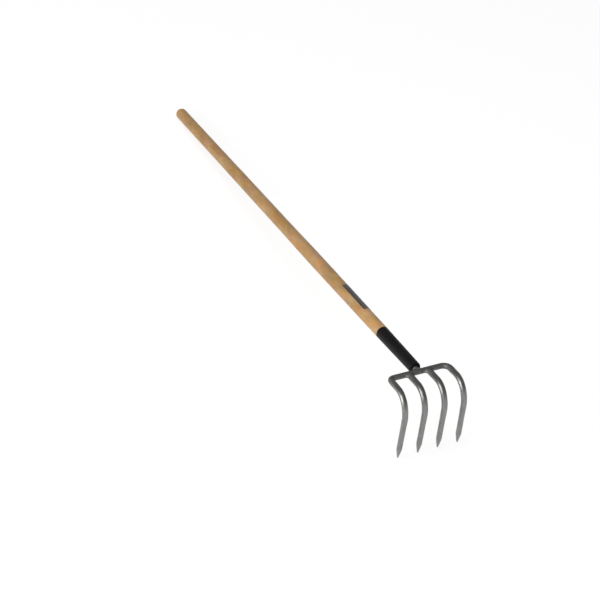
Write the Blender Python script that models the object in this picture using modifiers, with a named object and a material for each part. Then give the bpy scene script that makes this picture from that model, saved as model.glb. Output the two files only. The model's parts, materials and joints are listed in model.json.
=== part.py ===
"""A four-tined garden hook, lying on the tips of its tines and the end of its handle.

Everything is in metres with +Z up. The tool has a frame of its own: its origin is the centre of the
crossbar, +Y runs along the handle to the butt, +X along the crossbar, and the tines bend down to -Z.
One empty carries every piece, tilted so that the tips and the butt rest on the floor at Z = 0.
"""
import math

import bmesh
import bpy
from mathutils import Matrix, Vector

# Clearance between pieces that are seated in or against each other
SEAT_GAP = 0.0003

# Handle: a turned hardwood pole with a domed butt and a slight swell, measured from its front end
HANDLE_LENGTH = 1.372
BUTT_RADIUS = 0.0146
BUTT_FLAT_RADIUS = 0.0040
BODY_RADIUS = 0.0155
BODY_DISTANCE = 0.697
SWELL_RADIUS = 0.0164
SWELL_DISTANCE = 0.477
NECK_RADIUS = 0.0153
TENON_DEPTH = 0.1178

# Ferrule: a tapered tube, flush with the wood, with a rolled lip and a flat rim around its mouth
FERRULE_LENGTH = 0.1663
FERRULE_MOUTH_AT = 0.0145
FERRULE_WALL = 0.0016
LIP_RADIUS = 0.0040
RIM_WIDTH = 0.0019
MOUTH_CLEARANCE = 0.0014

# Tang: a tapered steel spike from the crossbar into the handle, ending short of the ferrule's end
TANG_RADIUS = 0.0064
TANG_END_RADIUS = 0.0040
TANG_SETBACK = 0.0150

# Pin: a nail through the ferrule, the handle and the tang, driven in from below
PIN_SETBACK = 0.0200
PIN_RADIUS = 0.0016
PIN_POINT_RADIUS = 0.0010
PIN_CLEARANCE = 0.0003
PIN_COVER = 0.0033
PIN_HEAD_RADIUS = 0.0036
PIN_HEAD_HEIGHT = 0.0013

# Bow: the crossbar and both outer tines, bent from one rod; the right corner is bent a little wider
BAR_RADIUS = 0.0065
TINE_PITCH = 0.0462
LEFT_CORNER_RADIUS = 0.0100
RIGHT_CORNER_RADIUS = 0.0165

# Tines: straight lead, a tight bend, a wider bend, a straight shank and a point
LEAD_LENGTH = 0.0448
FIRST_BEND_RADIUS = 0.0345
FIRST_BEND_ANGLE = math.radians(69.6)
SECOND_BEND_RADIUS = 0.0633
SECOND_BEND_ANGLE = math.radians(35.4)
SHANK_LENGTH = 0.1181
POINT_LENGTH = 0.0300
TIP_RADIUS = 0.0016
SPLAY = 0.0035

# Thickness of a tine: it swells out of the bar, stays thick in the bends and draws down to the shank
SHOULDER_RADIUS = 0.0071
SHOULDER_AT = 0.0220
BEND_END_RADIUS = 0.0068
SHANK_RADIUS = 0.0064
DRAW_LENGTH = 0.0350
POINT_FULLNESS = 1.25

# Welds: a bead around each inner tine and around the tang, where they meet the crossbar
WELD_START = 0.0015
WELD_FOOT = 0.0135
WELD_REACH = 0.0158
TANG_WELD_FOOT = 0.0125
TANG_WELD_REACH = 0.0132
WELD_LIP = 0.0009
WELD_EDGE = 0.0003

# Label: a bare sticker wrapped around the upper right side of the handle, behind the ferrule
LABEL_LENGTH = 0.119
LABEL_SETBACK = 0.0877
LABEL_THICKNESS = 0.0003
LABEL_HALF_ANGLE = math.radians(50)
LABEL_TURN = math.radians(34)

# Colour, roughness and metallic value of each finish
FINISHES = {
    "handle_wood": ((0.56, 0.31, 0.13), 0.45, 0.0),
    "ferrule_paint": ((0.012, 0.011, 0.012), 0.35, 0.0),
    "tang_steel": ((0.20, 0.20, 0.19), 0.45, 0.9),
    "pin_steel": ((0.30, 0.30, 0.29), 0.40, 0.9),
    "forged_steel": ((0.14, 0.14, 0.13), 0.38, 0.9),
    "weld_bead": ((0.17, 0.17, 0.16), 0.50, 0.9),
    "label_film": ((0.06, 0.06, 0.07), 0.50, 0.0),
}

# How finely round shapes are divided
TURNED_STEPS = 48
PIN_STEPS = 32
ROD_BEVEL_RESOLUTION = 6
CUTTER_SEGMENTS = 32
WELD_SEGMENTS = 36
WELD_RINGS = 8
WELD_FOOT_STEPS = 4
DOME_STEPS = 10
LIP_STEPS = 5
BEND_STEP = math.radians(6.5)
CORNER_STEPS = 10
DRAW_STEPS = 3
POINT_STEPS = 6
TIP_STEPS = 4
POLE_STEPS = 7
LABEL_COLUMNS = 14
LABEL_ROWS = 6
SHARP_ANGLE = math.radians(35)

# How far cutters and coped ends run past what they meet, and how close joined points lie
OVERRUN = 0.0015
JOIN_DISTANCE = 0.00001

# Places that follow from the sizes above, along the handle's axis from the middle of the crossbar
LIP_AT = FERRULE_MOUTH_AT + LIP_RADIUS
FERRULE_REAR = FERRULE_MOUTH_AT + FERRULE_LENGTH
HANDLE_FRONT = FERRULE_REAR - TENON_DEPTH
SWELL_AT = HANDLE_FRONT + SWELL_DISTANCE
BODY_AT = HANDLE_FRONT + BODY_DISTANCE
BUTT_END = HANDLE_FRONT + HANDLE_LENGTH
BUTT_CENTRE = BUTT_END - math.sqrt(BUTT_RADIUS**2 - BUTT_FLAT_RADIUS**2)
TANG_END = FERRULE_REAR - TANG_SETBACK
PIN_AT = TANG_END - PIN_SETBACK
LABEL_FRONT = FERRULE_REAR + LABEL_SETBACK

# Sizes that follow: the ferrule's front, the places of the tines and their lengths
MOUTH_RADIUS = TANG_RADIUS + MOUTH_CLEARANCE
FERRULE_FRONT_RADIUS = MOUTH_RADIUS + RIM_WIDTH + LIP_RADIUS
INNER_TINE_AT = TINE_PITCH / 2
OUTER_TINE_AT = INNER_TINE_AT + TINE_PITCH
FIRST_BEND_LENGTH = FIRST_BEND_RADIUS * FIRST_BEND_ANGLE
SECOND_BEND_LENGTH = SECOND_BEND_RADIUS * SECOND_BEND_ANGLE
SHANK_AT = LEAD_LENGTH + FIRST_BEND_LENGTH + SECOND_BEND_LENGTH
TINE_LENGTH = SHANK_AT + SHANK_LENGTH
POINT_AT = TINE_LENGTH - POINT_LENGTH
TIP_CENTRE_AT = TINE_LENGTH - TIP_RADIUS

# A bead's hole is widened by this factor, so that its flat facets clear the round rod
WELD_GROWTH = 1 / math.cos(math.pi / WELD_SEGMENTS)


def clear_scene():
    """Removes every object, so the model starts from nothing."""
    for item in list(bpy.data.objects):
        bpy.data.objects.remove(item, do_unlink=True)


def make_collection(name):
    """A new collection under the scene's own."""
    collection = bpy.data.collections.new(name)
    bpy.context.scene.collection.children.link(collection)
    return collection


def make_material(name):
    """A Principled material with the finish of that name."""
    color, roughness, metallic = FINISHES[name]
    material = bpy.data.materials.new(name)
    material.use_nodes = True
    shader = material.node_tree.nodes["Principled BSDF"]
    shader.inputs["Base Color"].default_value = (*color, 1.0)
    shader.inputs["Roughness"].default_value = roughness
    shader.inputs["Metallic"].default_value = metallic
    return material


def ease(start, end, share):
    """A value between start and end that leaves and arrives level."""
    share = min(max(share, 0.0), 1.0)
    return start + (end - start) * (1 - math.cos(math.pi * share)) / 2


def handle_radius(place):
    """Radius of the bare wood at a distance from the crossbar."""
    if place > BODY_AT:
        return ease(BODY_RADIUS, BUTT_RADIUS, (place - BODY_AT) / (BUTT_CENTRE - BODY_AT))
    if place > SWELL_AT:
        return ease(SWELL_RADIUS, BODY_RADIUS, (place - SWELL_AT) / (BODY_AT - SWELL_AT))
    return ease(NECK_RADIUS, SWELL_RADIUS, (place - FERRULE_REAR) / (SWELL_AT - FERRULE_REAR))


def ferrule_radius(place):
    """Outer radius of the ferrule behind its lip, at a distance from the crossbar."""
    share = (place - LIP_AT) / (FERRULE_REAR - LIP_AT)
    return FERRULE_FRONT_RADIUS + (NECK_RADIUS - FERRULE_FRONT_RADIUS) * share


def tenon_radius(place):
    """Radius of the wood inside the ferrule."""
    return ferrule_radius(place) - FERRULE_WALL - SEAT_GAP


def tang_radius(place):
    """Radius of the tapered tang."""
    return TANG_RADIUS + (TANG_END_RADIUS - TANG_RADIUS) * place / TANG_END


def tine_radius(travel):
    """Radius of a tine at a distance along its centre line from the crossbar."""
    if travel < LEAD_LENGTH:
        return ease(BAR_RADIUS, SHOULDER_RADIUS, travel / SHOULDER_AT)
    if travel < SHANK_AT:
        share = (travel - LEAD_LENGTH) / (SHANK_AT - LEAD_LENGTH)
        return ease(SHOULDER_RADIUS, BEND_END_RADIUS, share)
    if travel < POINT_AT:
        return ease(BEND_END_RADIUS, SHANK_RADIUS, (travel - SHANK_AT) / DRAW_LENGTH)
    if travel < TIP_CENTRE_AT:
        share = (travel - POINT_AT) / (TIP_CENTRE_AT - POINT_AT)
        return SHANK_RADIUS + (TIP_RADIUS - SHANK_RADIUS) * share**POINT_FULLNESS
    return math.sqrt(max(TIP_RADIUS**2 - (travel - TIP_CENTRE_AT) ** 2, 0.0))


def tine_point(travel):
    """Place (y, z) of a tine's centre line at a distance from the crossbar."""
    stretches = (
        (LEAD_LENGTH, 0.0),
        (FIRST_BEND_LENGTH, 1 / FIRST_BEND_RADIUS),
        (SECOND_BEND_LENGTH, 1 / SECOND_BEND_RADIUS),
        (SHANK_LENGTH, 0.0),
    )
    y, z, heading = 0.0, 0.0, 0.0
    left = travel
    for length, curvature in stretches:
        run = min(left, length)
        turn = run * curvature
        if curvature:
            y -= (math.sin(heading + turn) - math.sin(heading)) / curvature
            z += (math.cos(heading + turn) - math.cos(heading)) / curvature
        else:
            y -= run * math.cos(heading)
            z -= run * math.sin(heading)
        heading += turn
        left -= run
    return y, z


def even_marks(start, end, steps):
    """Evenly spaced distances after start, up to and including end."""
    return [start + (end - start) * k / steps for k in range(1, steps + 1)]


def tine_travels(start):
    """Distances along a tine at which its centre line gets a point, from start to the tip."""
    first_bend_end = LEAD_LENGTH + FIRST_BEND_LENGTH
    marks = even_marks(start, SHOULDER_AT, DRAW_STEPS)
    marks += [LEAD_LENGTH]
    marks += even_marks(LEAD_LENGTH, first_bend_end, math.ceil(FIRST_BEND_ANGLE / BEND_STEP))
    marks += even_marks(first_bend_end, SHANK_AT, math.ceil(SECOND_BEND_ANGLE / BEND_STEP))
    marks += even_marks(SHANK_AT, SHANK_AT + DRAW_LENGTH, DRAW_STEPS)
    marks += [POINT_AT]
    marks += even_marks(POINT_AT, TIP_CENTRE_AT, POINT_STEPS)
    for k in range(1, TIP_STEPS):
        marks.append(TIP_CENTRE_AT + TIP_RADIUS * math.sin(math.pi / 2 * k / TIP_STEPS))
    return [start] + sorted(mark for mark in marks if mark > start)


def tine_path(across, start):
    """Centre line of one tine as (place, radius), for the tine that leaves the bar at x = across."""
    spread = SPLAY * across / OUTER_TINE_AT
    path = []
    for travel in tine_travels(start):
        y, z = tine_point(travel)
        place = Vector((across + spread * travel / TINE_LENGTH, y, z))
        path.append((place, tine_radius(travel)))
    return path


def bow_half(side, bend):
    """Centre line of the bow's corner and outer tine on one side, -1 or 1, as (place, radius)."""
    half = []
    for k in range(CORNER_STEPS):
        angle = math.pi / 2 * k / CORNER_STEPS
        x = OUTER_TINE_AT - bend * (1 - math.sin(angle))
        y = -bend * (1 - math.cos(angle))
        radius = ease(BAR_RADIUS, tine_radius(bend), k / CORNER_STEPS)
        half.append((Vector((side * x, y, 0.0)), radius))
    return half + tine_path(side * OUTER_TINE_AT, bend)


def bow_path():
    """Centre line of the bow from tip to tip as (place, radius)."""
    middle = [(Vector((0.0, 0.0, 0.0)), BAR_RADIUS)]
    return bow_half(-1, LEFT_CORNER_RADIUS)[::-1] + middle + bow_half(1, RIGHT_CORNER_RADIUS)


def rest_tilt():
    """Angle of the floor under the tool: the line that touches the tips and the butt from below."""
    tip_y, tip_z = tine_point(TIP_CENTRE_AT)
    along = BUTT_CENTRE - tip_y
    reach = math.hypot(along, tip_z)
    return math.atan2(-tip_z, along) - math.asin((BUTT_RADIUS - TIP_RADIUS) / reach)


def place_object(name, data, collection, frame):
    """A new object in the tool's frame."""
    item = bpy.data.objects.new(name, data)
    collection.objects.link(item)
    item.parent = frame
    return item


def turned(name, outline, material, collection, frame, steps=TURNED_STEPS):
    """A turned piece around the handle's axis, from an outline of (radius, place along the axis)."""
    mesh = bpy.data.meshes.new(name)
    edges = [(k, k + 1) for k in range(len(outline) - 1)]
    if outline[0][0] > 0:
        edges.append((len(outline) - 1, 0))
    mesh.from_pydata([(radius, 0.0, place) for radius, place in outline], edges, [])
    item = place_object(name, mesh, collection, frame)
    item.rotation_euler = (-math.pi / 2, 0.0, 0.0)
    screw = item.modifiers.new("Turn", "SCREW")
    screw.axis = "Z"
    screw.angle = 2 * math.pi
    screw.steps = steps
    screw.render_steps = steps
    screw.use_merge_vertices = True
    screw.merge_threshold = JOIN_DISTANCE
    screw.use_smooth_shade = True
    mesh.materials.append(material)
    return item


def rod(name, path, material, collection, frame):
    """A round rod of varying thickness along a path of (place, radius), as a welded mesh."""
    curve = bpy.data.curves.new(name, "CURVE")
    curve.dimensions = "3D"
    curve.bevel_depth = BAR_RADIUS
    curve.bevel_resolution = ROD_BEVEL_RESOLUTION
    curve.use_fill_caps = True
    spline = curve.splines.new("POLY")
    spline.points.add(len(path) - 1)
    for point, (place, radius) in zip(spline.points, path):
        point.co = (*place, 1.0)
        point.radius = radius / BAR_RADIUS
    drawn = place_object(name + "_line", curve, collection, frame)
    bpy.context.view_layer.update()
    graph = bpy.context.evaluated_depsgraph_get()
    mesh = bpy.data.meshes.new_from_object(drawn.evaluated_get(graph))
    bpy.data.objects.remove(drawn, do_unlink=True)
    join_points(mesh)
    finish_mesh(mesh, name, material)
    return place_object(name, mesh, collection, frame)


def join_points(mesh):
    """Joins points that lie on each other, such as a rod's caps and its side."""
    shape = bmesh.new()
    shape.from_mesh(mesh)
    bmesh.ops.remove_doubles(shape, verts=shape.verts, dist=JOIN_DISTANCE)
    bmesh.ops.recalc_face_normals(shape, faces=shape.faces)
    shape.to_mesh(mesh)
    shape.free()


def finish_mesh(mesh, name, material):
    """Names a mesh, gives it one material and shades it smooth up to its sharp edges."""
    mesh.name = name
    mesh.materials.clear()
    mesh.materials.append(material)
    mesh.shade_smooth()
    mesh.set_sharp_from_angle(angle=SHARP_ANGLE)


def round_cutter(name, radius, length, matrix, collection, frame):
    """A round bar that cuts others, whose flat sides lie at the radius."""
    mesh = bpy.data.meshes.new(name)
    shape = bmesh.new()
    corner_radius = radius / math.cos(math.pi / CUTTER_SEGMENTS)
    bmesh.ops.create_cone(
        shape,
        cap_ends=True,
        segments=CUTTER_SEGMENTS,
        radius1=corner_radius,
        radius2=corner_radius,
        depth=length,
        matrix=matrix,
    )
    shape.to_mesh(mesh)
    shape.free()
    return hidden_cutter(name, mesh, collection, frame)


def bar_cutter(collection, frame):
    """The crossbar's shape with its seat gap, for what is coped onto the bar, with a flat to the front."""
    half_a_side = Matrix.Rotation(math.pi / CUTTER_SEGMENTS, 4, "Z")
    lying = Matrix.Rotation(math.pi / 2, 4, "Y") @ half_a_side
    length = 2 * OUTER_TINE_AT
    return round_cutter("bar_cutter", BAR_RADIUS + SEAT_GAP, length, lying, collection, frame)


def pin_cutter(name, low, high, collection, frame):
    """The pin's shank with its clearance, from height low to height high in the tool's frame."""
    middle = Matrix.Translation((0.0, PIN_AT, (low + high) / 2))
    return round_cutter(name, PIN_RADIUS + PIN_CLEARANCE, high - low, middle, collection, frame)


def hidden_cutter(name, mesh, collection, frame):
    """An object that only cuts others."""
    cutter = place_object(name, mesh, collection, frame)
    cutter.hide_render = True
    cutter.display_type = "WIRE"
    return cutter


def cut(item, cutter):
    """Takes the cutter's shape out of an object."""
    boolean = item.modifiers.new("Cut " + cutter.name, "BOOLEAN")
    boolean.operation = "DIFFERENCE"
    boolean.solver = "EXACT"
    boolean.object = cutter


def bar_face(height):
    """How far in front of its middle the crossbar's face lies, with its gap, at a height over its axis."""
    radius = (BAR_RADIUS + SEAT_GAP) * WELD_GROWTH
    return max(math.sqrt(max(radius**2 - height**2, 0.0)), WELD_START)


def weld_outline(angle, foot, reach, core):
    """The bead's outline in one direction around its rod, as (distance from the rod's axis, travel).

    It runs along the rod to the bead's end, back over a hollow curve to the foot, and inwards over the bar.
    The foot is an ellipse: wide along the bar, and thin where it comes over the top and bottom of the rod.
    """
    rise = math.sin(angle)

    def hole(travel):
        return (core(travel) + SEAT_GAP) * WELD_GROWTH

    root = hole(bar_face(hole(0.0) * rise))
    start = bar_face(root * rise)
    edge = hole(0.0) + WELD_EDGE
    wide = 1 / math.hypot(math.cos(angle) / foot, rise / edge)
    end = hole(reach) + WELD_LIP
    height = reach - bar_face(end * rise)
    outline = []
    for k in range(WELD_RINGS + 1):
        travel = start + (reach - start) * k / WELD_RINGS
        outline.append((hole(travel), travel))
    for k in range(WELD_RINGS, -1, -1):
        turn = math.pi / 2 * k / WELD_RINGS
        out = end + (wide - end) * (1 - math.sin(turn))
        outline.append((out, bar_face(out * rise) + height * (1 - math.cos(turn))))
    for k in range(1, WELD_FOOT_STEPS):
        out = wide + (root - wide) * k / WELD_FOOT_STEPS
        outline.append((out, bar_face(out * rise)))
    return outline


def weld_mesh(name, across, direction, foot, reach, core):
    """A weld bead: a closed ring around its rod, through one outline for each direction."""
    mesh = bpy.data.meshes.new(name)
    shape = bmesh.new()
    rows = []
    for k in range(WELD_SEGMENTS):
        angle = 2 * math.pi * k / WELD_SEGMENTS
        row = []
        for out, travel in weld_outline(angle, foot, reach, core):
            place = (across + out * math.cos(angle), direction * travel, out * math.sin(angle))
            row.append(shape.verts.new(place))
        rows.append(row)
    for near, far in zip(rows, rows[1:] + rows[:1]):
        for k in range(len(near)):
            after = (k + 1) % len(near)
            shape.faces.new((near[k], near[after], far[after], far[k]))
    bmesh.ops.recalc_face_normals(shape, faces=shape.faces)
    shape.to_mesh(mesh)
    shape.free()
    return mesh


def make_handle(material, collection, cutters, frame):
    """The wooden pole: domed butt, swell, shoulder, tenon and the bore for the tang."""
    outline = [(0.0, BUTT_END)]
    flat_angle = math.asin(BUTT_FLAT_RADIUS / BUTT_RADIUS)
    for k in range(DOME_STEPS + 1):
        angle = flat_angle + (math.pi / 2 - flat_angle) * k / DOME_STEPS
        outline.append((BUTT_RADIUS * math.sin(angle), BUTT_CENTRE + BUTT_RADIUS * math.cos(angle)))
    shoulder = FERRULE_REAR + SEAT_GAP
    for near, far in ((BUTT_CENTRE, BODY_AT), (BODY_AT, SWELL_AT), (SWELL_AT, shoulder)):
        for place in even_marks(near, far, POLE_STEPS):
            outline.append((handle_radius(place), place))
    outline.append((tenon_radius(shoulder), shoulder))
    outline.append((tenon_radius(HANDLE_FRONT), HANDLE_FRONT))
    bore_end = TANG_END + SEAT_GAP
    outline.append((tang_radius(HANDLE_FRONT) + SEAT_GAP, HANDLE_FRONT))
    outline.append((tang_radius(bore_end) + SEAT_GAP, bore_end))
    outline.append((0.0, bore_end))
    handle = turned("handle", outline, material, collection, frame)
    low = -ferrule_radius(PIN_AT) - OVERRUN
    high = pin_tip_height() + SEAT_GAP
    cut(handle, pin_cutter("handle_pin_hole", low, high, cutters, frame))
    return handle


def make_ferrule(material, collection, cutters, frame):
    """The tapered tube with its lip rolled in around the mouth, and the pin's hole below."""
    inner_lip = LIP_RADIUS - FERRULE_WALL
    lip_centre = FERRULE_FRONT_RADIUS - LIP_RADIUS
    outline = [(ferrule_radius(FERRULE_REAR), FERRULE_REAR)]
    for k in range(LIP_STEPS + 1):
        angle = math.pi / 2 * k / LIP_STEPS
        outline.append((lip_centre + LIP_RADIUS * math.cos(angle), LIP_AT - LIP_RADIUS * math.sin(angle)))
    outline.append((MOUTH_RADIUS, FERRULE_MOUTH_AT))
    outline.append((MOUTH_RADIUS, FERRULE_MOUTH_AT + FERRULE_WALL))
    for k in range(LIP_STEPS, -1, -1):
        angle = math.pi / 2 * k / LIP_STEPS
        outline.append((lip_centre + inner_lip * math.cos(angle), LIP_AT - inner_lip * math.sin(angle)))
    outline.append((ferrule_radius(FERRULE_REAR) - FERRULE_WALL, FERRULE_REAR))
    ferrule = turned("ferrule", outline, material, collection, frame)
    low = -ferrule_radius(PIN_AT) - OVERRUN
    high = -tenon_radius(PIN_AT) + OVERRUN
    cut(ferrule, pin_cutter("ferrule_pin_hole", low, high, cutters, frame))
    return ferrule


def make_tang(material, collection, cutters, bar, frame):
    """The tapered spike from the crossbar into the handle, coped to the bar and drilled for the pin."""
    outline = [
        (0.0, TANG_END),
        (TANG_END_RADIUS, TANG_END),
        (tang_radius(SEAT_GAP), SEAT_GAP),
        (0.0, SEAT_GAP),
    ]
    tang = turned("tang", outline, material, collection, frame)
    cut(tang, bar)
    reach = TANG_RADIUS + OVERRUN
    cut(tang, pin_cutter("tang_pin_hole", -reach, reach, cutters, frame))
    return tang


def pin_tip_height():
    """Height of the pin's point over the handle's axis, under the wood that covers it."""
    return tenon_radius(PIN_AT) - PIN_COVER


def make_pin(material, collection, frame):
    """The nail: a shank and a domed head that stands on the underside of the ferrule."""
    tip = pin_tip_height()
    seat = -ferrule_radius(PIN_AT + PIN_HEAD_RADIUS) - SEAT_GAP
    outline = [
        (0.0, tip),
        (PIN_POINT_RADIUS, tip),
        (PIN_RADIUS, tip - PIN_RADIUS),
        (PIN_RADIUS, seat),
        (PIN_HEAD_RADIUS, seat),
    ]
    for k in range(1, LIP_STEPS):
        angle = math.pi / 2 * k / LIP_STEPS
        outline.append((PIN_HEAD_RADIUS * math.cos(angle), seat - PIN_HEAD_HEIGHT * math.sin(angle)))
    outline.append((0.0, seat - PIN_HEAD_HEIGHT))
    pin = turned("ferrule_pin", outline, material, collection, frame, steps=PIN_STEPS)
    pin.rotation_euler = (0.0, 0.0, 0.0)
    pin.location = (0.0, PIN_AT, 0.0)
    return pin


def make_inner_tine(name, across, material, collection, bar, frame):
    """One inner tine, coped to the front of the crossbar."""
    tine = rod(name, tine_path(across, SEAT_GAP), material, collection, frame)
    cut(tine, bar)
    return tine


def make_weld(name, across, direction, foot, reach, core, material, collection, frame):
    """A bead around the root of a tine or of the tang, where it meets the bar."""
    mesh = weld_mesh(name, across, direction, foot, reach, core)
    finish_mesh(mesh, name, material)
    return place_object(name, mesh, collection, frame)


def make_label(material, collection, frame):
    """The bare sticker, bent around the wood."""
    mesh = bpy.data.meshes.new("label")
    shape = bmesh.new()
    bmesh.ops.create_grid(shape, x_segments=LABEL_COLUMNS, y_segments=LABEL_ROWS, size=1.0)
    for vertex in shape.verts:
        angle = LABEL_TURN + LABEL_HALF_ANGLE * vertex.co.x
        place = LABEL_FRONT + LABEL_LENGTH * (1 + vertex.co.y) / 2
        radius = (handle_radius(place) + SEAT_GAP) / math.cos(math.pi / TURNED_STEPS)
        vertex.co = (radius * math.sin(angle), place, radius * math.cos(angle))
    shape.to_mesh(mesh)
    shape.free()
    finish_mesh(mesh, "label", material)
    label = place_object("label", mesh, collection, frame)
    shell = label.modifiers.new("Thickness", "SOLIDIFY")
    shell.thickness = LABEL_THICKNESS
    shell.offset = 1.0
    return label


def settle(frame, pieces):
    """Moves the whole tool so that its box stands centred on the origin, on the floor."""
    bpy.context.view_layer.update()
    graph = bpy.context.evaluated_depsgraph_get()
    low = Vector((math.inf, math.inf, math.inf))
    high = -low
    for piece in pieces:
        shown = piece.evaluated_get(graph)
        for vertex in shown.to_mesh().vertices:
            place = shown.matrix_world @ vertex.co
            low = Vector(map(min, low, place))
            high = Vector(map(max, high, place))
        shown.to_mesh_clear()
    frame.location = (-(low.x + high.x) / 2, -(low.y + high.y) / 2, -low.z)


def build():
    """The whole garden hook."""
    clear_scene()
    hook = make_collection("garden_hook")
    cutters = make_collection("cutters")
    finish = {name: make_material(name) for name in FINISHES}
    forged = finish["forged_steel"]
    bead = finish["weld_bead"]

    frame = bpy.data.objects.new("tool_frame", None)
    hook.objects.link(frame)
    frame.rotation_euler = (-rest_tilt(), 0.0, 0.0)
    bar = bar_cutter(cutters, frame)

    pieces = [
        make_handle(finish["handle_wood"], hook, cutters, frame),
        make_ferrule(finish["ferrule_paint"], hook, cutters, frame),
        make_tang(finish["tang_steel"], hook, cutters, bar, frame),
        make_pin(finish["pin_steel"], hook, frame),
        rod("bow", bow_path(), forged, hook, frame),
        make_label(finish["label_film"], hook, frame),
    ]
    beads = [("weld_tang", 0.0, 1, TANG_WELD_FOOT, TANG_WELD_REACH, tang_radius)]
    for side, across in (("left", -INNER_TINE_AT), ("right", INNER_TINE_AT)):
        pieces.append(make_inner_tine("inner_tine_" + side, across, forged, hook, bar, frame))
        beads.append(("weld_tine_" + side, across, -1, WELD_FOOT, WELD_REACH, tine_radius))
    for shape in beads:
        pieces.append(make_weld(*shape, bead, hook, frame))
    settle(frame, pieces)


build()
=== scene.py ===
import json
import math

import bpy
import numpy as np
from mathutils import Matrix, Quaternion, Vector


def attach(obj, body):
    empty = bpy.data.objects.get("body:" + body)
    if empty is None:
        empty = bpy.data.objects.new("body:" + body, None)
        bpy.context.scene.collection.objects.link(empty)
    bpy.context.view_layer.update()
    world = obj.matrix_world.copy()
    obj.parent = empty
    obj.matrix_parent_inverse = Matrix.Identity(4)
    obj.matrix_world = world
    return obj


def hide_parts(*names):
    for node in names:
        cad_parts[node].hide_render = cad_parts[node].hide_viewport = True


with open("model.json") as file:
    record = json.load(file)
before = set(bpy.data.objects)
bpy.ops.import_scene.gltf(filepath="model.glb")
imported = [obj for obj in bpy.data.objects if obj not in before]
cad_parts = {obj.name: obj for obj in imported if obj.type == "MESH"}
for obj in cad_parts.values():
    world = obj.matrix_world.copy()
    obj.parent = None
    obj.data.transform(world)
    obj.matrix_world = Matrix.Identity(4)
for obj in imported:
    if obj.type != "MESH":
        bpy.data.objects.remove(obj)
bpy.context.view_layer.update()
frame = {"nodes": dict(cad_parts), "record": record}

# Pole
BUTT_RADIUS = 0.0146
BUTT_FLAT_RADIUS = 0.0040
BODY_RADIUS = 0.0155
SWELL_RADIUS = 0.0164
NECK_RADIUS = 0.0153
POLE_FRONT = 0.063
SWELL_AT = 0.540
BODY_AT = 0.760
BUTT_END = 1.435
BUTT_CENTRE = BUTT_END - math.sqrt(BUTT_RADIUS**2 - BUTT_FLAT_RADIUS**2)
BORE_END = 0.1661
EASED_ARRIS = 0.0006
SEAT_GAP = 0.0003

# Ferrule
FERRULE_MOUTH = 0.0145
FERRULE_REAR = 0.1808
FERRULE_WALL = 0.0016
FERRULE_FRONT_RADIUS = 0.0137
REAR_ROUNDING = 0.0004
LIP_RADIUS = 0.0040
LIP_AT = FERRULE_MOUTH + LIP_RADIUS
MOUTH_RADIUS = 0.0078
MOUTH_ROUNDING = 0.0005
MOUTH_ROUNDING_MIDDLE = 0.00015

# Tang and crossbar
TANG_RADIUS = 0.0064
TANG_END_RADIUS = 0.0040
TANG_END = 0.1658
BAR_RADIUS = 0.0065
LEFT_CORNER = 0.0100
RIGHT_CORNER = 0.0165

# Tines: distances from the middle, lengths of their parts, and radii
INNER_TINE = 0.0231
OUTER_TINE = 0.0693
LEAD_LENGTH = 0.0448
FIRST_BEND_RADIUS = 0.0345
FIRST_BEND_LENGTH = FIRST_BEND_RADIUS * math.radians(69.6)
SECOND_BEND_RADIUS = 0.0633
SECOND_BEND_LENGTH = SECOND_BEND_RADIUS * math.radians(35.4)
SHANK_LENGTH = 0.1181
POINT_LENGTH = 0.0300
TIP_RADIUS = 0.0016
SPLAY = 0.0035
SHOULDER_RADIUS = 0.0071
SHOULDER_AT = 0.0220
BEND_END_RADIUS = 0.0068
SHANK_RADIUS = 0.0064
DRAW_LENGTH = 0.0350
POINT_FULLNESS = 1.25
SHANK_AT = LEAD_LENGTH + FIRST_BEND_LENGTH + SECOND_BEND_LENGTH
TINE_LENGTH = SHANK_AT + SHANK_LENGTH
POINT_AT = TINE_LENGTH - POINT_LENGTH
TIP_CENTRE = TINE_LENGTH - TIP_RADIUS
INNER_TINE_START = 0.0005

# Weld fillets: how far they spread over the bar and along the rod, how far their edges are let in,
# and half their least width
TINE_FILLET = (0.0070, 0.0093)
TANG_FILLET = (0.0062, 0.0066)
LET_IN = 0.00003
THINNEST = 0.0001

# Label
LABEL_FRONT = 0.2685
LABEL_LENGTH = 0.119
LABEL_HALF_ANGLE = math.radians(50)
LABEL_TURN = math.radians(34)
LABEL_CORNER = 0.0010
LABEL_LIFT = 0.00005
LABEL_THICKNESS = 0.00022
LABEL_BORDER = 0.0012

# Forging leaves the rods uneven: how deep, always inwards, three waves (radians per metre of
# travel, waves round the rod, share of the rod's own phase), and the phases of the rods. The marks
# rise over a length where the welds end, and fade where the point is ground down to a radius.
HAMMER_DEPTH = 0.00007
HAMMER_WAVES = ((202, 2, 1.0), (331, -3, 1.7), (134, 1, 2.3))
BOW_PHASE, LEFT_PHASE, RIGHT_PHASE = 0.4, 2.1, 4.6
ROOT_LENGTH = 0.020
MARKS_RISE = 0.012
GROUND_RADIUS = TIP_RADIUS * 1.2
GROUND_FADE = 0.002

# How finely the pieces are divided: points around, rings along, and the step along a rod
POLE_COLUMNS = 96
ROD_COLUMNS = 56
DOME_RINGS = 26
BODY_RINGS = 240
ROUNDING_RINGS = 5
LIP_RINGS = 17
FERRULE_RINGS = 60
BAR_RINGS = 30
CORNER_RINGS = 26
TIP_RINGS = 8
FILLET_ROWS = 41
FILLET_STEPS = 18
LABEL_ROWS = 90
LABEL_COLUMNS = 49
ROD_STEP = 0.0016
SHARP_ANGLE = math.radians(40)

# A quarter turn, and a length far below any step along a rod
QUARTER = math.pi / 2
HAIR = 1e-9

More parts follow.
